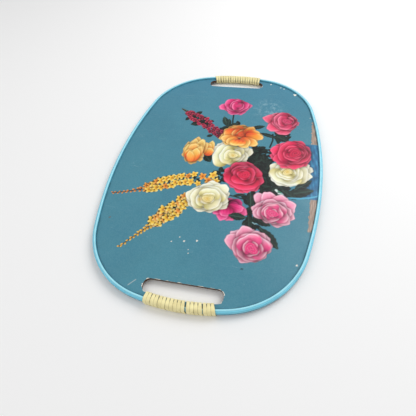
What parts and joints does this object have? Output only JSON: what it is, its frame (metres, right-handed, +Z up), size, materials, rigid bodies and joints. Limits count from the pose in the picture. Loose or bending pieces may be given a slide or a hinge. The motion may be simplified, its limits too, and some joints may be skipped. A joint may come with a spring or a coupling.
{
  "type": "serving tray",
  "caption": "Oval flat serving tray with a printed flower picture, a soft plastic edge trim and two cane-wound hand slots.",
  "frame": {"origin": "middle of the tray at the plane it rests on, under its two windings", "axes": "+Z up out of the picture, +Y along the tray towards the far handle, +X across it towards the foot of the vase in the picture"},
  "size_m": [0.3078, 0.4524, 0.0115],
  "materials": {
    "hardboard": "matte pressed fibre, screen texture underneath",
    "printed_paper": "printed picture under worn satin lacquer",
    "trim_vinyl": "soft satin vinyl extrusion",
    "cane_vinyl": "cream plastic cane with fine lengthwise ribs"
  },
  "bodies": {
    "root": {"base_board": "hardboard", "picture_sheet": "printed_paper", "edge_trim": "trim_vinyl", "far_handle_cane": "cane_vinyl", "near_handle_cane": "cane_vinyl"}
  },
  "joints": []
}
